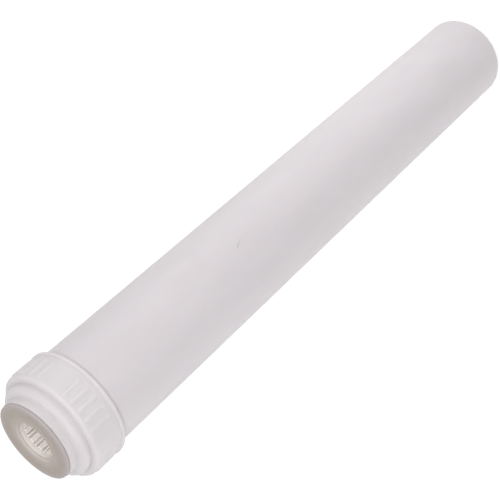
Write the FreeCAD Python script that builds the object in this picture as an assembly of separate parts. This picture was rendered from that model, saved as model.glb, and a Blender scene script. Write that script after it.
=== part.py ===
import FreeCAD, Part
import math
import os

# Refillable water filter cartridge: a 20 inch shell for loose filter media, with a screw cap.
# Millimetres. +Z runs along the cartridge with the cap on top, and the origin is the centre of
# the lower gasket's face, on which the cartridge stands.

# Whole cartridge, from gasket face to gasket face
overall_length = 508.0

# Tube
tube_outer_r = 34.05
tube_wall = 3.05
tube_edge_round = 1.0
tube_mouth_round = 0.5
tube_start = 8.0

# Flat gasket, the same ring on both ends, and the bore inside it for the housing's post
gasket_r = 26.4
gasket_thickness = 2.0
gasket_edge_round = 0.7
bore_r = 13.0
bore_to_gasket = 0.3

# Hub that carries the gasket on both ends
hub_rim_width = 0.5
hub_edge_round = 0.4
moulded_wall = 2.2
inner_corner_round = 0.5

# Cap: hub, rounded shoulder, ribbed collar and plain band at its mouth
hub_height = 5.1
hub_foot_round = 1.1
shoulder_height = 5.9
shoulder_round = 4.0
shoulder_step = 4.4
collar_wall = 2.15
collar_length = 23.5
collar_draft = 0.2
collar_front_round = 2.3
band_length = 2.6
band_step = 0.65
band_front_round = 0.3
band_mouth_round = 1.3

# Grip ribs on the collar: groups of half-round bars, evenly spaced round the cap
rib_groups = 5
ribs_in_group = 5
rib_pitch_angle = 10.0
first_group_angle = -96.25
rib_height = 0.6
rib_width = 3.3
rib_front_gap = 1.8
rib_back_gap = 1.8

# Thread between the cap and the tube
thread_starts = 2
thread_pitch = 4.0
thread_depth = 1.0
thread_clearance = 0.3
thread_crest = 0.8
thread_flank_angle = 30.0
thread_top_gap = 3.5
thread_mouth_gap = 4.5
groove_runout = 1.5
thread_first_angle = 25.0
thread_root_sink = 0.6

# Seal ring between the cap and the tube's mouth
seal_thickness = 1.6
seal_inset = 0.2

# Strainer basket below the cap's bore, which narrows by a step where the slots begin
bore_step_depth = 1.2
basket_step = 0.5
basket_wall = 1.8
basket_depth = 18.8
basket_floor = 1.8
slot_pairs = 12
slot_pair_angle = 10.6
first_slot_angle = 98.0
slot_width = 1.0
slot_foot_gap = 0.5

# Felt pads, pushed into the tube. The upper one has a hole for the basket to slide through.
felt_thickness = 4.5
felt_clearance = 0.05
felt_edge_round = 0.8
basket_to_felt = 0.3
felt_above_basket_foot = 1.5

# Base welded into the far end of the tube
weld_gap = 0.05
socket_depth = 13.2
channel_depth = 4.0
channel_width = 4.1
inlet_windows = 24
inlet_width = 2.0
inlet_edge_gap = 0.8

# Radii that follow from the sizes above
tube_inner_r = tube_outer_r - tube_wall
hub_r = gasket_r + hub_rim_width
hub_inner_r = hub_r - moulded_wall
collar_inner_r = tube_outer_r + thread_clearance
collar_r = collar_inner_r + collar_wall
shoulder_r = collar_r - shoulder_step
ridge_crest_r = collar_inner_r - thread_depth
groove_bottom_r = ridge_crest_r - thread_clearance
basket_inner_r = bore_r - basket_step
basket_outer_r = basket_inner_r + basket_wall
felt_r = tube_inner_r - felt_clearance
plug_r = tube_inner_r - weld_gap
inlet_wall_r = tube_inner_r - channel_width
inlet_wall_inner_r = inlet_wall_r - moulded_wall
socket_outer_r = bore_r + moulded_wall

# Heights of the cap's faces, from the gasket down
cap_seat_z = overall_length - gasket_thickness
shoulder_z = cap_seat_z - hub_height
collar_top_z = shoulder_z - shoulder_height
plate_under_z = cap_seat_z - moulded_wall
bore_step_z = plate_under_z - bore_step_depth
shoulder_under_z = shoulder_z - moulded_wall
ceiling_z = collar_top_z - moulded_wall
cap_mouth_z = collar_top_z - collar_length
band_top_z = cap_mouth_z + band_length
tube_mouth_z = ceiling_z - seal_thickness
basket_foot_z = plate_under_z - basket_depth
basket_floor_z = basket_foot_z + basket_floor
upper_felt_z = basket_foot_z + felt_above_basket_foot
upper_felt_top_z = upper_felt_z + felt_thickness
slot_foot_z = upper_felt_top_z + slot_foot_gap

# Heights of the base's faces, from the gasket up
base_seat_z = gasket_thickness
base_plate_z = base_seat_z + moulded_wall
socket_end_z = base_seat_z + socket_depth
base_top_z = socket_end_z + moulded_wall
channel_z = tube_start + channel_depth
ledge_z = channel_z + moulded_wall

# Thread lead, and where the cap's ridges start and end
thread_lead = thread_starts * thread_pitch
ridge_start_z = cap_mouth_z + thread_mouth_gap
ridge_end_z = tube_mouth_z - thread_top_gap
groove_start_z = ridge_start_z - groove_runout

AXIS = FreeCAD.Vector(0, 0, 1)
CENTRE = FreeCAD.Vector(0, 0, 0)


def section_point(r, z):
    """A point of a section in the XZ plane."""
    return FreeCAD.Vector(r, 0, z)


def corner_arc(before, corner, after, radius, room):
    """The start, middle and end of the arc that rounds a corner, starting no further than room from it."""
    to_before = (before - corner).normalize()
    to_after = (after - corner).normalize()
    half_angle = to_before.getAngle(to_after) / 2
    setback = min(radius / math.tan(half_angle), room)
    radius = setback * math.tan(half_angle)
    inward = (to_before + to_after).normalize()
    middle = corner + inward * (radius / math.sin(half_angle) - radius)
    return corner + to_before * setback, middle, corner + to_after * setback


def rounding_room(points, rounds, i, neighbour):
    """How much of the side between two corners is corner i's: they share it in proportion to their rounds."""
    side = points[i].distanceToPoint(points[neighbour])
    return 0.98 * side * rounds[i] / (rounds[i] + rounds[neighbour])


def rounded_outline(corners):
    """A closed outline through (r, z) or (r, z, round) corners."""
    points = [section_point(c[0], c[1]) for c in corners]
    rounds = [c[2] if len(c) > 2 else 0 for c in corners]
    edges = []
    starts = []
    ends = []
    for i, corner in enumerate(points):
        before = i - 1
        after = (i + 1) % len(points)
        if rounds[i] > 0:
            room = min(rounding_room(points, rounds, i, before), rounding_room(points, rounds, i, after))
            start, middle, end = corner_arc(points[before], corner, points[after], rounds[i], room)
            starts.append(start)
            ends.append(end)
            edges.append(Part.Arc(start, middle, end).toShape())
        else:
            starts.append(corner)
            ends.append(corner)
            edges.append(None)
    ordered = []
    for i in range(len(points)):
        if edges[i]:
            ordered.append(edges[i])
        ordered.append(Part.makeLine(ends[i], starts[(i + 1) % len(points)]))
    return Part.Wire(ordered)


def turned(corners):
    """A solid of revolution about the cartridge's axis."""
    return Part.Face(rounded_outline(corners)).revolve(CENTRE, AXIS, 360)


def disc(r, low_z, high_z):
    """A plain round cylinder on the axis."""
    return Part.makeCylinder(r, high_z - low_z, FreeCAD.Vector(0, 0, low_z))


def radial_bar(inner_r, outer_r, width, low_z, high_z, angle):
    """A straight bar that points away from the axis."""
    bar = Part.makeBox(outer_r - inner_r, width, high_z - low_z)
    bar.translate(FreeCAD.Vector(inner_r, -width / 2, low_z))
    bar.rotate(CENTRE, AXIS, angle)
    return bar


def ring_of(count, make_at_angle, first_angle=0.0):
    """Copies spaced evenly round the axis."""
    return [make_at_angle(first_angle + 360.0 * i / count) for i in range(count)]


def helix_path(height, r):
    """A right-hand helix with the thread's lead, joined from stretches of about half a turn."""
    stretches = math.ceil(2 * height / thread_lead)
    rise = height / stretches
    stretch = Part.makeHelix(thread_lead, rise, r)
    edges = []
    for i in range(stretches):
        piece = stretch.copy()
        piece.rotate(CENTRE, AXIS, 360.0 * i * rise / thread_lead)
        piece.translate(FreeCAD.Vector(0, 0, i * rise))
        edges.extend(piece.Edges)
    return Part.Wire(edges)


def thread_sweep(start, low_z, high_z, tip_r, root_r, tip_width):
    """One start of the thread: a ridge with sloped flanks, swept up the helix from its middle at low_z."""
    slope = math.tan(math.radians(thread_flank_angle))
    tip = tip_width / 2
    root = tip + (root_r - tip_r) * slope
    profile = Part.makePolygon([
        section_point(tip_r, -tip),
        section_point(root_r, -root),
        section_point(root_r, root),
        section_point(tip_r, tip),
        section_point(tip_r, -tip),
    ])
    ridge = helix_path(high_z - low_z, root_r).makePipeShell([profile], True, True)
    ridge.translate(FreeCAD.Vector(0, 0, low_z))
    turn_at_low_z = thread_first_angle + 360.0 * (low_z - groove_start_z) / thread_lead
    ridge.rotate(CENTRE, AXIS, turn_at_low_z + 360.0 * start / thread_starts)
    return ridge


def thread_grooves():
    """The spaces for the cap's ridges, with clearance on every side, running out of the tube's mouth."""
    slope = math.tan(math.radians(thread_flank_angle))
    bottom_width = thread_crest + 2 * thread_clearance * (1 - slope)
    outside_r = tube_outer_r + thread_root_sink
    above_mouth_z = tube_mouth_z + thread_pitch
    return [
        thread_sweep(start, groove_start_z, above_mouth_z, groove_bottom_r, outside_r, bottom_width)
        for start in range(thread_starts)
    ]


def thread_ridges():
    """The ridges inside the cap, rooted in the collar's wall."""
    sunk_r = collar_inner_r + thread_root_sink
    return [
        thread_sweep(start, ridge_start_z, ridge_end_z, ridge_crest_r, sunk_r, thread_crest)
        for start in range(thread_starts)
    ]


def body_tube():
    """Extruded tube, with the thread cut into its upper end."""
    blank = turned([
        (tube_inner_r, tube_start, tube_mouth_round),
        (tube_outer_r, tube_start, tube_edge_round),
        (tube_outer_r, tube_mouth_z, tube_mouth_round),
        (tube_inner_r, tube_mouth_z, tube_mouth_round),
    ])
    return blank.cut(thread_grooves())


def grip_rib(angle):
    """A half-round bar with round ends, standing proud of the collar and cut off inside its wall."""
    round_r = (rib_width ** 2 / 4 + rib_height ** 2) / (2 * rib_height)
    centre_r = collar_r + rib_height - round_r
    low_z = band_top_z + rib_back_gap + round_r
    high_z = collar_top_z - rib_front_gap - round_r
    bar = Part.makeCylinder(round_r, high_z - low_z, FreeCAD.Vector(centre_r, 0, low_z))
    ends = [Part.makeSphere(round_r, FreeCAD.Vector(centre_r, 0, z)) for z in (low_z, high_z)]
    rib = bar.fuse(ends).removeSplitter()
    rib = rib.cut(disc(collar_inner_r + collar_wall / 2, cap_mouth_z, collar_top_z))
    rib.rotate(CENTRE, AXIS, angle)
    return rib


def grip_ribs():
    """Every group's bars, with smooth stretches of collar between the groups."""
    ribs = []
    for group in range(rib_groups):
        middle = first_group_angle + 360.0 * group / rib_groups
        for i in range(ribs_in_group):
            ribs.append(grip_rib(middle + rib_pitch_angle * (i - (ribs_in_group - 1) / 2)))
    return ribs


def strainer_slots():
    """Slots through the basket's wall, in pairs, from the bore's step down."""
    def pair(angle):
        return [
            radial_bar(basket_inner_r - basket_wall, basket_outer_r + basket_wall, slot_width,
                       slot_foot_z, bore_step_z, angle + side * slot_pair_angle / 2)
            for side in (-1, 1)
        ]

    slots = []
    for both in ring_of(slot_pairs, pair, first_slot_angle):
        slots.extend(both)
    return slots


def screw_cap():
    """Cap shell: gasket seat round the bore, hub, shoulder, ribbed collar, band and thread."""
    shell = turned([
        (bore_r, cap_seat_z),
        (hub_r, cap_seat_z, hub_edge_round),
        (hub_r, shoulder_z, hub_foot_round),
        (shoulder_r, shoulder_z, shoulder_round),
        (shoulder_r, collar_top_z, inner_corner_round / 2),
        (collar_r, collar_top_z, collar_front_round),
        (collar_r + collar_draft, band_top_z),
        (collar_r + collar_draft + band_step, band_top_z, band_front_round),
        (collar_r + collar_draft + band_step, cap_mouth_z, band_mouth_round),
        (collar_inner_r, cap_mouth_z, inner_corner_round),
        (collar_inner_r, ceiling_z),
        (shoulder_r - moulded_wall, ceiling_z),
        (shoulder_r - moulded_wall, shoulder_under_z, shoulder_round - moulded_wall),
        (hub_inner_r, shoulder_under_z, inner_corner_round),
        (hub_inner_r, plate_under_z, inner_corner_round),
        (bore_r, plate_under_z),
    ])
    ribbed = shell.fuse(grip_ribs())
    return ribbed.fuse(thread_ridges())


def strainer_basket():
    """Slotted cup that hangs from the cap's plate, round the bore."""
    basket = turned([
        (bore_r, plate_under_z),
        (basket_outer_r, plate_under_z),
        (basket_outer_r, basket_foot_z, inner_corner_round),
        (0, basket_foot_z),
        (0, basket_floor_z),
        (basket_inner_r, basket_floor_z, inner_corner_round),
        (basket_inner_r, bore_step_z),
        (bore_r, bore_step_z),
    ])
    return basket.cut(strainer_slots())


def flat_gasket(face_z, into):
    """A soft flat ring. Its outer face is at face_z, and it goes down or up from there as into says."""
    back_z = face_z + into * gasket_thickness
    hole_r = bore_r + bore_to_gasket
    return turned([
        (hole_r, face_z, gasket_edge_round),
        (gasket_r, face_z, gasket_edge_round),
        (gasket_r, back_z),
        (hole_r, back_z),
    ])


def seal_ring():
    """The flat ring that the cap presses on the tube's mouth."""
    return turned([
        (tube_inner_r + seal_inset, tube_mouth_z),
        (tube_outer_r - seal_inset, tube_mouth_z),
        (tube_outer_r - seal_inset, ceiling_z),
        (tube_inner_r + seal_inset, ceiling_z),
    ])


def felt_pad(low_z, hole_r):
    """A round felt disc that fills the tube, with a hole in its middle if hole_r isn't 0."""
    high_z = low_z + felt_thickness
    return turned([
        (hole_r, low_z),
        (felt_r, low_z, felt_edge_round),
        (felt_r, high_z, felt_edge_round),
        (hole_r, high_z),
    ])


def base_plug():
    """Base ring: gasket seat, wall with inlet windows, and the ledge and rim that are welded into the tube."""
    shell = turned([
        (bore_r, base_seat_z),
        (inlet_wall_r, base_seat_z, hub_edge_round),
        (inlet_wall_r, channel_z, inner_corner_round),
        (plug_r, channel_z),
        (plug_r, base_top_z, inner_corner_round),
        (plug_r - moulded_wall, base_top_z),
        (plug_r - moulded_wall, ledge_z),
        (inlet_wall_inner_r, ledge_z),
        (inlet_wall_inner_r, base_plate_z, inner_corner_round),
        (bore_r, base_plate_z),
    ])
    seat = turned([
        (bore_r, base_seat_z),
        (hub_r, base_seat_z, hub_edge_round),
        (hub_r, base_plate_z),
        (bore_r, base_plate_z),
    ])

    def window(angle):
        return radial_bar(inlet_wall_inner_r - moulded_wall, inlet_wall_r + moulded_wall, inlet_width,
                          base_plate_z + inlet_edge_gap, channel_z - inlet_edge_gap, angle)

    half_window = 180.0 / inlet_windows
    return shell.fuse(seat).removeSplitter().cut(ring_of(inlet_windows, window, half_window))


def base_socket():
    """Blind cup on the base's plate, for the housing's lower post."""
    return turned([
        (bore_r, base_plate_z),
        (socket_outer_r, base_plate_z),
        (socket_outer_r, base_top_z, inner_corner_round),
        (0, base_top_z),
        (0, socket_end_z),
        (bore_r, socket_end_z),
    ])


def parts():
    """Every piece, by its node's name."""
    return {
        "body_tube": body_tube(),
        "base_plug": base_plug(),
        "base_socket": base_socket(),
        "bottom_gasket": flat_gasket(0, 1),
        "lower_felt_pad": felt_pad(base_top_z, 0),
        "cap_seal_ring": seal_ring(),
        "screw_cap": screw_cap(),
        "strainer_basket": strainer_basket(),
        "cap_gasket": flat_gasket(overall_length, -1),
        "upper_felt_pad": felt_pad(upper_felt_z, basket_outer_r + basket_to_felt),
    }


os.makedirs("parts", exist_ok=True)
for node, shape in parts().items():
    box = shape.BoundBox
    print(node, "valid" if shape.isValid() else "NOT VALID", len(shape.Solids), "solid",
          round(shape.Volume), "mm3", [round(v, 2) for v in (box.XMin, box.YMin, box.ZMin)],
          [round(v, 2) for v in (box.XMax, box.YMax, box.ZMax)])
    shape.exportStep("parts/" + node + ".step")
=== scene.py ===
import math
import random

import bpy
from mathutils import Matrix, Vector, noise


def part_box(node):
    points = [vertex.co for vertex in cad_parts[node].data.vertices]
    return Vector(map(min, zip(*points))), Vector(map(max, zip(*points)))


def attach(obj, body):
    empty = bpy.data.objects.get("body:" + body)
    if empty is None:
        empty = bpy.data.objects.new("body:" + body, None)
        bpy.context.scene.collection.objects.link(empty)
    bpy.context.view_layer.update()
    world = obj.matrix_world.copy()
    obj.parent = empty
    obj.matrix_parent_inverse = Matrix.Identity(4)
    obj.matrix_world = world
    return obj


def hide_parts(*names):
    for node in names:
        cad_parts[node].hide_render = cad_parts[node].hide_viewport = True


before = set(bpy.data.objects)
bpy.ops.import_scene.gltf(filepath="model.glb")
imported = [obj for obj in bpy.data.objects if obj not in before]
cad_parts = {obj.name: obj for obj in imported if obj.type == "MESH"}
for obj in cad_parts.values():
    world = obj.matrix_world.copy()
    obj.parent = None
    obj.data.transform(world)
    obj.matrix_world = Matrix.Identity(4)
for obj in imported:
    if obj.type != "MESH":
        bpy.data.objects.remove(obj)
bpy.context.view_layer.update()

MM = 0.001

# The camera of the photograph: it looks down past the cap to the base, rolled over to the left.
CAMERA_PLACE = (0.0, -0.6027, 0.7508)
CAMERA_PITCH_DEG = 36.56
CAMERA_TURN_DEG = 0.09
CAMERA_ROLL_DEG = 228.01
CAMERA_LENS = 80.0
CAMERA_SENSOR = 36.0

# Soft rings on both ends. An edge or a flare is given as its width and its depth.
GASKET_HOLE_R = 13.05 * MM
GASKET_EDGE = (0.3 * MM, 0.3 * MM)
GASKET_FLARE = (2.5 * MM, 1.75 * MM)
GASKET_WAVE = 0.05 * MM
GASKET_WAVES_PER_METRE = 140.0
SEAL_INNER_R = 31.2 * MM
SEAL_EDGE = (0.3 * MM, 0.3 * MM)
SQUARE = (0.0, 0.0)

# Radii between which a gasket's colour turns into painted light: lighter and pinker at its rim, paler
# at its mouth and on its hole's wall
GASKET_RIM_PAINTED_LIGHT_R = (22.5 * MM, 26.4 * MM)
GASKET_MOUTH_PAINTED_LIGHT_R = (20.0 * MM, 13.5 * MM)
GASKET_WALL_PAINTED_LIGHT_R = (14.6 * MM, 13.1 * MM)

# Felt pads: the upper one has the strainer's hole, the lower one only a needle's
FELT_HOLE_R = 14.6 * MM
NEEDLE_HOLE_R = 0.4 * MM
FELT_EDGE = (0.8 * MM, 0.8 * MM)
FELT_LUMPS = 0.18 * MM
FELT_LUMPS_PER_METRE = 420.0

# Loose fibres on the pads: how many, how thin and long, how far they bend, lift and lie in the felt,
# and how far they keep from a pad's hole and from its outer edge
FELT_FIBRES = 1400
FIBRE_R = 0.03 * MM
FIBRE_LENGTH = (2.5 * MM, 7.0 * MM)
FIBRE_BEND = 0.5
FIBRE_LIFT = 0.25 * MM
FIBRE_SINK = 0.18 * MM
FIBRE_FROM_HOLE = 1.5 * MM
FIBRE_FROM_EDGE = 2.5 * MM

# Felt sleeve round the strainer, behind its slots: a pale sheet, painted light in the dark space the
# slots show
SLEEVE_R = (14.35 * MM, 14.6 * MM)
SLEEVE_Z = (0.4912, 0.5025)

# How finely rings, pads and the sleeve are divided: along their section and round the axis
RING_STEP, RING_SEGMENTS = 0.7 * MM, 256
FELT_STEP, FELT_SEGMENTS = 0.9 * MM, 192
SLEEVE_STEP, SLEEVE_SEGMENTS = 0.8 * MM, 128

# Plastic: the share of light that goes through its skin, how far in the tube and cap and in the
# strainer, and the radii between which a moulded part's colour turns into the paler colour of its bore,
# which is painted light
SKIN_SHARE = 0.6
SKIN_DEPTH = 0.004
THIN_SKIN_DEPTH = 0.0015
BORE_PAINTED_LIGHT_R = (15.0 * MM, 14.4 * MM)

# Tube, and the small nick in it
TUBE_R = 34.05 * MM
NICK_ANGLE_DEG = -78.8
NICK_Z = 0.3318

# Light: the even surround, the floor's glow, and each lamp with its place, where it points, its
# width, and what it adds to the surround on a surface that faces it
SURROUND = 0.62
FLOOR_GLOW = 0.55
FLOOR_HALF = 6.0
LAMPS = (
    ("side_lamp", (0.40, -0.20, 0.05), (0.0, 0.0, 0.15), 0.3, 0.36),
    ("front_lamp", (0.045, -0.737, 1.016), (0.0, 0.0, 0.45), 0.25, 0.38),
    ("fill_lamp", (-1.0, 0.3, 0.25), (0.0, 0.0, 0.25), 0.6, 0.22),
)

WHITE = (1.0, 1.0, 1.0)
FULL = (0.0, 1.0)


def socket(node, name, value):
    """Sets a constant on a node's own input."""
    node.inputs[name].default_value = value


def new_material(name, colour, roughness, **constants):
    """A node material, with its constants set on the shader's own sockets."""
    material = bpy.data.materials.new(name)
    material.use_nodes = True
    shader = material.node_tree.nodes["Principled BSDF"]
    socket(shader, "Base Color", (*colour, 1.0))
    socket(shader, "Roughness", roughness)
    for key, value in constants.items():
        socket(shader, key.replace("_", " "), value)
    return material, material.node_tree, shader


def new_object(name, data):
    """An object in the scene for a mesh, a lamp or the camera."""
    thing = bpy.data.objects.new(name, data)
    bpy.context.scene.collection.objects.link(thing)
    return thing


def place_scaled(tree, scale):
    """The piece's own coordinates in metres, times a scale for each axis or for all three."""
    place = tree.nodes.new("ShaderNodeTexCoord")
    mapping = tree.nodes.new("ShaderNodeMapping")
    socket(mapping, "Scale", scale if isinstance(scale, tuple) else (scale,) * 3)
    tree.links.new(place.outputs["Object"], mapping.inputs["Vector"])
    return mapping.outputs["Vector"]


def noise_field(tree, scale, detail=3.0, roughness=0.5, distortion=0.0):
    """Soft noise over the piece, its scale in waves a metre."""
    texture = tree.nodes.new("ShaderNodeTexNoise")
    socket(texture, "Scale", 1.0)
    socket(texture, "Detail", detail)
    socket(texture, "Roughness", roughness)
    socket(texture, "Distortion", distortion)
    tree.links.new(place_scaled(tree, scale), texture.inputs["Vector"])
    return texture.outputs["Fac"]


def cell_field(tree, scale):
    """Distance to the nearest of many scattered points: small pores or specks."""
    texture = tree.nodes.new("ShaderNodeTexVoronoi")
    socket(texture, "Scale", 1.0)
    tree.links.new(place_scaled(tree, scale), texture.inputs["Vector"])
    return texture.outputs["Distance"]


def ranged(tree, field, from_range, to_range=FULL):
    """A field stretched from one range to another."""
    node = tree.nodes.new("ShaderNodeMapRange")
    socket(node, "From Min", from_range[0])
    socket(node, "From Max", from_range[1])
    socket(node, "To Min", to_range[0])
    socket(node, "To Max", to_range[1])
    tree.links.new(field, node.inputs["Value"])
    return node.outputs["Result"]


def mixed_colour(tree, field, first, second):
    """A colour between two, by a field. Each of the two is a colour or another mixed output."""
    node = tree.nodes.new("ShaderNodeMix")
    node.data_type = "RGBA"
    tree.links.new(field, node.inputs["Factor"])
    for key, value in (("A", first), ("B", second)):
        target = next(s for s in node.inputs if s.name == key and s.type == "RGBA")
        if isinstance(value, bpy.types.NodeSocket):
            tree.links.new(value, target)
        else:
            target.default_value = (*value, 1.0)
    return next(s for s in node.outputs if s.type == "RGBA")


def bumped(tree, shader, layers):
    """Layers of (field, depth in metres, strength) as one relief on the shader."""
    below = None
    for field, depth, strength in layers:
        bump = tree.nodes.new("ShaderNodeBump")
        socket(bump, "Distance", depth)
        socket(bump, "Strength", strength)
        tree.links.new(field, bump.inputs["Height"])
        if below:
            tree.links.new(below, bump.inputs["Normal"])
        below = bump.outputs["Normal"]
    tree.links.new(below, shader.inputs["Normal"])


def distance_from_axis(tree):
    """How far a point of the piece lies from the cartridge's axis, in metres."""
    place = tree.nodes.new("ShaderNodeTexCoord")
    flat = tree.nodes.new("ShaderNodeVectorMath")
    flat.operation = "MULTIPLY"
    flat.inputs[1].default_value = (1, 1, 0)
    tree.links.new(place.outputs["Object"], flat.inputs[0])
    length = tree.nodes.new("ShaderNodeVectorMath")
    length.operation = "LENGTH"
    tree.links.new(flat.outputs["Vector"], length.inputs[0])
    return length.outputs["Value"]


def plastic(name, light, shade, depth, along_streaks=False, painted_light_bore=None):
    """
    Satin white polypropylene: faint clouding, a few specks, an orange-peel skin, and streaks along
    the tube if it is extruded. Where a paler inner colour is given, it is painted light near the
    axis, in the hole of a moulded part, and no light goes through the skin there.
    """
    material, tree, shader = new_material(
        name,
        light,
        0.56,
        IOR=1.49,
        Specular_IOR_Level=0.35,
        Subsurface_Weight=SKIN_SHARE,
        Subsurface_Scale=depth,
    )
    socket(shader, "Subsurface Radius", (1.0, 1.0, 1.0))
    clouds = noise_field(tree, (55, 55, 22), 3.0)
    cloudy = mixed_colour(tree, ranged(tree, clouds, (0.3, 0.7)), light, shade)
    # Painted light: the bore is made paler to stand in for light in its shade.
    if painted_light_bore:
        painted_light_bore_share = ranged(tree, distance_from_axis(tree), BORE_PAINTED_LIGHT_R)
        cloudy = mixed_colour(tree, painted_light_bore_share, cloudy, painted_light_bore)
        skin_share = ranged(tree, painted_light_bore_share, FULL, (SKIN_SHARE, 0.0))
        tree.links.new(skin_share, shader.inputs["Subsurface Weight"])
    specks = cell_field(tree, 210)
    speck_share = ranged(tree, specks, (0.06, 0.035), (0.0, 0.35))
    speckled = mixed_colour(tree, speck_share, cloudy, tuple(0.75 * c for c in shade))
    tree.links.new(speckled, shader.inputs["Base Color"])
    gloss = noise_field(tree, (160, 160, 40), 4.0, 0.6)
    tree.links.new(ranged(tree, gloss, (0.3, 0.7), (0.50, 0.62)), shader.inputs["Roughness"])
    skin = noise_field(tree, 420, 2.0)
    grain = noise_field(tree, 2600, 1.0)
    layers = [(skin, 0.00012, 0.18), (grain, 0.00002, 0.25)]
    if along_streaks:
        streaks = noise_field(tree, (900, 900, 6), 2.0)
        layers.append((streaks, 0.00003, 0.25))
    bumped(tree, shader, layers)
    return material


def gasket_foam():
    """Grey-beige foam, mottled and finely pored, with painted light: lighter and pinker at its outer
    edge, and paler towards and in the hole.
    """
    light = (0.465, 0.415, 0.375)
    dark = (0.425, 0.375, 0.335)
    mouth_painted_light = (0.54, 0.48, 0.435)
    wall_painted_light = (0.64, 0.585, 0.54)
    rim_painted_light = (0.52, 0.46, 0.455)
    material, tree, shader = new_material("soft_ring", light, 0.72, IOR=1.45)
    mottle = noise_field(tree, 170, 4.0, 0.6)
    mottled = mixed_colour(tree, ranged(tree, mottle, (0.32, 0.68)), light, dark)
    pores = cell_field(tree, 1500)
    colour = mixed_colour(tree, ranged(tree, pores, (0.28, 0.12), (0.0, 0.3)), mottled, dark)
    far_out = distance_from_axis(tree)
    # Painted light: the outer edge, the hole's mouth and the hole's side are made lighter, as if lit.
    for radii, zone in ((GASKET_RIM_PAINTED_LIGHT_R, rim_painted_light), (GASKET_MOUTH_PAINTED_LIGHT_R, mouth_painted_light), (GASKET_WALL_PAINTED_LIGHT_R, wall_painted_light)):
        colour = mixed_colour(tree, ranged(tree, far_out, radii), colour, zone)
    tree.links.new(colour, shader.inputs["Base Color"])
    rough = noise_field(tree, 600, 2.0)
    tree.links.new(ranged(tree, rough, (0.3, 0.7), (0.6, 0.82)), shader.inputs["Roughness"])
    bumped(tree, shader, [(mottle, 0.0004, 0.2), (pores, 0.00012, 0.5)])
    return material


def felt(name, light, dark):
    """Off-white needled felt, tufted and finely matted."""
    material, tree, shader = new_material(name, light, 0.95, Sheen_Weight=0.3)
    tufts = noise_field(tree, 330, 5.0, 0.7, 1.5)
    tufted = mixed_colour(tree, ranged(tree, tufts, (0.35, 0.65)), light, dark)
    tree.links.new(tufted, shader.inputs["Base Color"])
    fine = noise_field(tree, 1800, 3.0, 0.7, 2.0)
    bumped(tree, shader, [(tufts, 0.0006, 0.6), (fine, 0.0002, 0.6)])
    return material


def ring_rubber():
    """Matt dark rubber of the seal ring, a little dusty."""
    black = (0.03, 0.03, 0.03)
    material, tree, shader = new_material("ring_rubber", black, 0.6)
    dust = noise_field(tree, 500, 4.0, 0.6)
    dusty = mixed_colour(tree, ranged(tree, dust, (0.4, 0.75)), black, (0.08, 0.078, 0.075))
    tree.links.new(dusty, shader.inputs["Base Color"])
    bumped(tree, shader, [(dust, 0.00008, 0.5)])
    return material


def piece_from(name, verts, faces, material, body, replaces=()):
    """A smooth-shaded mesh that rides on a body and takes its finish from a slot."""
    mesh = bpy.data.meshes.new(name)
    mesh.from_pydata(verts, [], faces)
    mesh.materials.append(material)
    mesh.shade_smooth()
    piece = new_object(name, mesh)
    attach(piece, body)
    if replaces:
        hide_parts(*replaces)


def stretch(start, end, step):
    """Points from start up to, but not including, end, about a step apart."""
    count = max(1, round((Vector(end) - Vector(start)).length / step))
    return [tuple(Vector(start).lerp(Vector(end), i / count)) for i in range(count)]


def rounded_corner(corner, inward, extent, first_deg, count=6):
    """Points of a corner of the section, rounded as a quarter of an ellipse, or the bare corner."""
    if not extent[0]:
        return [corner]
    centre = (corner[0] + inward[0] * extent[0], corner[1] + inward[1] * extent[1])
    turns = [math.radians(first_deg + 90 * i / count) for i in range(count + 1)]
    return [(centre[0] + extent[0] * math.cos(t), centre[1] + extent[1] * math.sin(t)) for t in turns]


def ring_section(hole_r, outer_r, low_z, high_z, edges, step):
    """
    The closed section of a flat ring, anticlockwise. Its edges are given in this order: outer low,
    outer high, inner high and inner low.
    """
    corners = [
        rounded_corner((outer_r, low_z), (-1, 1), edges[0], 270),
        rounded_corner((outer_r, high_z), (-1, -1), edges[1], 0),
        rounded_corner((hole_r, high_z), (1, -1), edges[2], 90),
        rounded_corner((hole_r, low_z), (1, 1), edges[3], 180),
    ]
    points = []
    for i, arc in enumerate(corners):
        points += arc[:-1] + stretch(arc[-1], corners[(i + 1) % 4][0], step)
    return points


def revolved(section, segments, shift):
    """Vertices and faces of a closed section turned about the axis, each vertex moved by shift."""
    count = len(section)
    verts = []
    for i in range(segments):
        angle = 2 * math.pi * i / segments
        for r, z in section:
            point = Vector((r * math.cos(angle), r * math.sin(angle), z))
            verts.append(point + shift(point))
    faces = []
    for i in range(segments):
        ahead = (i + 1) % segments
        for k in range(count):
            up = (k + 1) % count
            faces.append((i * count + k, ahead * count + k, ahead * count + up, i * count + up))
    return verts, faces


def soft_ring(node, body, hole_r, edges, material):
    """A soft flat ring with rounded edges and slightly uneven faces, in its CAD node's place."""
    low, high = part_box(node)
    section = ring_section(hole_r, high[0], low[2], high[2], edges, RING_STEP)
    middle_r = (hole_r + high[0]) / 2
    middle_z = (low[2] + high[2]) / 2

    def sag(point):
        depth = GASKET_WAVE * (0.5 + 0.5 * noise.noise(point * GASKET_WAVES_PER_METRE))
        radial = Vector((point.x, point.y, 0)).normalized()
        inward = radial * (middle_r - math.hypot(point.x, point.y)) / (high[0] - middle_r)
        inward.z = (middle_z - point.z) / (high[2] - middle_z)
        return inward * depth

    verts, faces = revolved(section, RING_SEGMENTS, sag)
    piece_from("soft_" + node, verts, faces, material, body, [node])


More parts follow.
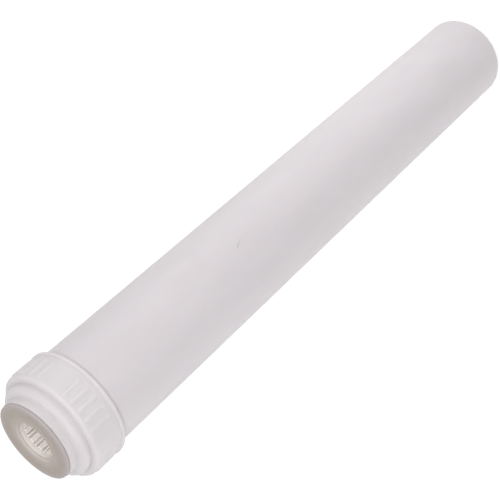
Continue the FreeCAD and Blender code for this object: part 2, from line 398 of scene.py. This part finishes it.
def fibre(start, heading, normal, length, rng):
    """A thin bent strand that lies in the felt and lifts in its middle: its vertices and faces."""
    stretches = 4
    side = normal.cross(heading).normalized()
    bend = rng.uniform(-FIBRE_BEND, FIBRE_BEND)
    lift = rng.uniform(0.0, FIBRE_LIFT)
    verts = []
    for i in range(stretches + 1):
        t = i / stretches
        centre = start + heading * (length * (t - 0.5))
        centre += side * (bend * length * (t - t * t))
        centre += normal * (FIBRE_R + lift * math.sin(math.pi * t) - FIBRE_SINK)
        for k in range(3):
            turn = 2 * math.pi * k / 3
            verts.append(centre + (side * math.cos(turn) + normal * math.sin(turn)) * FIBRE_R)
    faces = []
    for i in range(stretches):
        for k in range(3):
            ahead = (k + 1) % 3
            faces.append((3 * i + k, 3 * i + ahead, 3 * i + 3 + ahead, 3 * i + 3 + k))
    return verts, faces


def felt_disc(node, body, hole_r, material, seed):
    """A felt pad with a lumpy surface and loose fibres on both faces."""
    rng = random.Random(seed)
    low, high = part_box(node)
    outer_r = high[0]
    section = ring_section(hole_r, outer_r, low[2], high[2], [FELT_EDGE] * 4, FELT_STEP)
    middle_z = (low[2] + high[2]) / 2

    def lumps(point):
        depth = FELT_LUMPS * (0.5 + 0.5 * noise.noise(point * FELT_LUMPS_PER_METRE))
        return Vector((0, 0, math.copysign(depth, middle_z - point.z)))

    verts, faces = revolved(section, FELT_SEGMENTS, lumps)
    nearest, farthest = hole_r + FIBRE_FROM_HOLE, outer_r - FIBRE_FROM_EDGE
    for _ in range(FELT_FIBRES):
        angle = rng.uniform(0, 2 * math.pi)
        r = math.sqrt(rng.uniform(nearest**2, farthest**2))
        up = rng.random() < 0.5
        start = Vector((r * math.cos(angle), r * math.sin(angle), (high if up else low)[2]))
        start += lumps(start)
        way = rng.uniform(0, 2 * math.pi)
        heading = Vector((math.cos(way), math.sin(way), 0))
        room = 2 * min(outer_r - r, r - hole_r) - MM
        length = min(rng.uniform(*FIBRE_LENGTH), room)
        normal = Vector((0, 0, 1 if up else -1))
        strand, strand_faces = fibre(start, heading, normal, length, rng)
        first = len(verts)
        verts += strand
        faces += [tuple(first + v for v in face) for face in strand_faces]
    piece_from("felt_" + node, verts, faces, material, body, [node])


def felt_sleeve(material):
    """The thin felt sleeve round the strainer, which the slots show: its pale felt is painted light
    behind them.
    """
    section = ring_section(*SLEEVE_R, *SLEEVE_Z, [SQUARE] * 4, SLEEVE_STEP)
    verts, faces = revolved(section, SLEEVE_SEGMENTS, lambda point: Vector((0, 0, 0)))
    piece_from("strainer_sleeve_painted_light", verts, faces, material, "cap")


def photo_camera():
    """The camera at the photograph's angle and distance."""
    data = bpy.data.cameras.new("photo_camera")
    data.lens = CAMERA_LENS
    data.sensor_width = CAMERA_SENSOR
    data.clip_start = 0.01
    data.clip_end = 50.0
    camera = new_object("photo_camera", data)
    turn = Matrix.Rotation(math.radians(CAMERA_TURN_DEG), 4, "Z")
    pitch = Matrix.Rotation(math.radians(90 - CAMERA_PITCH_DEG), 4, "X")
    roll = Matrix.Rotation(math.radians(CAMERA_ROLL_DEG), 4, "Z")
    camera.matrix_world = Matrix.Translation(CAMERA_PLACE) @ turn @ pitch @ roll
    bpy.context.scene.camera = camera


def soft_lamp(name, place, aim, size, level):
    """A square studio lamp that points at aim, and adds this level of light there."""
    beam = Vector(aim) - Vector(place)
    data = bpy.data.lights.new(name, "AREA")
    data.size = size
    data.energy = level * (math.pi * beam.length) ** 2
    lamp = new_object(name, data)
    lamp.location = place
    lamp.rotation_mode = "QUATERNION"
    lamp.rotation_quaternion = beam.to_track_quat("-Z", "Y")


def backdrop_rays(tree):
    """One for the rays that show the background: straight to the camera, mirrored or let through."""
    path = tree.nodes.new("ShaderNodeLightPath")
    share = path.outputs["Is Camera Ray"]
    for kind in ("Is Glossy Ray", "Is Transmission Ray"):
        larger = tree.nodes.new("ShaderNodeMath")
        larger.operation = "MAXIMUM"
        tree.links.new(share, larger.inputs[0])
        tree.links.new(path.outputs[kind], larger.inputs[1])
        share = larger.outputs["Value"]
    return share


def studio_light():
    """A pale surround, a lamp low on the right, one above the camera, and a fill from the left."""
    world = bpy.data.worlds.new("pale_surround")
    bpy.context.scene.world = world
    world.use_nodes = True
    tree = world.node_tree
    background = tree.nodes["Background"]
    socket(background, "Color", (*WHITE, 1.0))
    strength = ranged(tree, backdrop_rays(tree), FULL, (SURROUND, 1.0))
    tree.links.new(strength, background.inputs["Strength"])
    for lamp in LAMPS:
        soft_lamp(*lamp)


def white_floor():
    """The white surface under the cartridge, which keeps its soft shadow."""
    corners = [(x * FLOOR_HALF, y * FLOOR_HALF, 0) for x, y in ((-1, -1), (1, -1), (1, 1), (-1, 1))]
    mesh = bpy.data.meshes.new("floor")
    mesh.from_pydata(corners, [], [(0, 1, 2, 3)])
    material, tree, shader = new_material("white_floor", (0.8, 0.8, 0.8), 0.9)
    socket(shader, "Emission Color", (*WHITE, 1.0))
    glow = ranged(tree, backdrop_rays(tree), FULL, (0.0, FLOOR_GLOW))
    tree.links.new(glow, shader.inputs["Emission Strength"])
    mesh.materials.append(material)
    floor = new_object("floor", mesh)


def tube_nick(material):
    """A scar on the tube's side: a short burr with a thin tail, a hair proud of the surface."""
    foot = -0.05
    # How far across and along the tube each step of the scar lies, its half width and its height, in mm
    outline = [
        (-1.00, -3.0, 0.10, 0.02),
        (-0.85, -2.7, 0.45, 0.12),
        (-0.60, -2.2, 0.50, 0.14),
        (-0.20, -1.4, 0.30, 0.10),
        (0.43, 0.0, 0.22, 0.08),
        (1.05, 1.5, 0.20, 0.07),
        (1.57, 2.7, 0.16, 0.05),
        (1.60, 3.6, 0.08, 0.02),
    ]
    verts = []
    for across, along, half_width, height in outline:
        for side, lift in ((-1, foot), (0, height), (1, foot)):
            angle = math.radians(NICK_ANGLE_DEG) + (across + side * half_width) * MM / TUBE_R
            r = TUBE_R + lift * MM
            verts.append((r * math.cos(angle), r * math.sin(angle), NICK_Z - along * MM))
    faces = []
    for i in range(len(outline) - 1):
        for k in range(2):
            faces.append((3 * i + k, 3 * i + 3 + k, 3 * i + 4 + k, 3 * i + 1 + k))
    piece_from("tube_nick", verts, faces, material, "housing")


def nick_painted_shade():
    """Grey of the nick: painted shade of the scar, mottled by a fine noise."""
    material, tree, shader = new_material("nick_painted_shade", (0.55, 0.53, 0.53), 0.7)
    grit = noise_field(tree, 1800, 3.0, 0.7)
    mottled_painted_shade = mixed_colour(tree, ranged(tree, grit, (0.3, 0.7)), (0.48, 0.46, 0.46), (0.60, 0.575, 0.58))
    tree.links.new(mottled_painted_shade, shader.inputs["Base Color"])
    bumped(tree, shader, [(grit, 0.0001, 0.6)])
    return material


def finish_node(node, material):
    """Gives a CAD node its finished material."""
    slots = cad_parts[node].data.materials
    slots.clear()
    slots.append(material)


photo_camera()
studio_light()
white_floor()

tube_white = plastic(
    "tube_white", (0.75, 0.71, 0.73), (0.725, 0.685, 0.705), SKIN_DEPTH, along_streaks=True
)
# The cap's paler bore colour is painted light.
cap_white = plastic(
    "cap_white", (0.765, 0.725, 0.735), (0.73, 0.69, 0.70), SKIN_DEPTH, painted_light_bore=(0.90, 0.85, 0.81)
)
# Paler than the cap's plastic: painted light in the shaded bore and slots of the strainer.
basket_painted_light = plastic("basket_painted_light", (0.93, 0.87, 0.84), (0.90, 0.84, 0.81), THIN_SKIN_DEPTH)
foam = gasket_foam()
needled = felt("needled_felt", (0.74, 0.72, 0.67), (0.60, 0.57, 0.51))
# Paler than the pads' felt: painted light behind the strainer's slots.
sleeve_felt_painted_light = felt("sleeve_felt_painted_light", (0.90, 0.86, 0.81), (0.80, 0.76, 0.70))
finish_node("body_tube", tube_white)
for moulded in ("base_plug", "base_socket", "screw_cap"):
    finish_node(moulded, cap_white)
finish_node("strainer_basket", basket_painted_light)
# The nick's grey is painted shade.
tube_nick(nick_painted_shade())
face_up = (SQUARE, GASKET_EDGE, GASKET_FLARE, SQUARE)
face_down = (GASKET_EDGE, SQUARE, SQUARE, GASKET_FLARE)
soft_ring("cap_gasket", "cap", GASKET_HOLE_R, face_up, foam)
soft_ring("bottom_gasket", "housing", GASKET_HOLE_R, face_down, foam)
soft_ring("cap_seal_ring", "seal", SEAL_INNER_R, [SEAL_EDGE] * 4, ring_rubber())
felt_sleeve(sleeve_felt_painted_light)
felt_disc("upper_felt_pad", "housing", FELT_HOLE_R, needled, 3)
felt_disc("lower_felt_pad", "housing", NEEDLE_HOLE_R, needled, 4)

bpy.context.scene.view_settings.view_transform = "Standard"
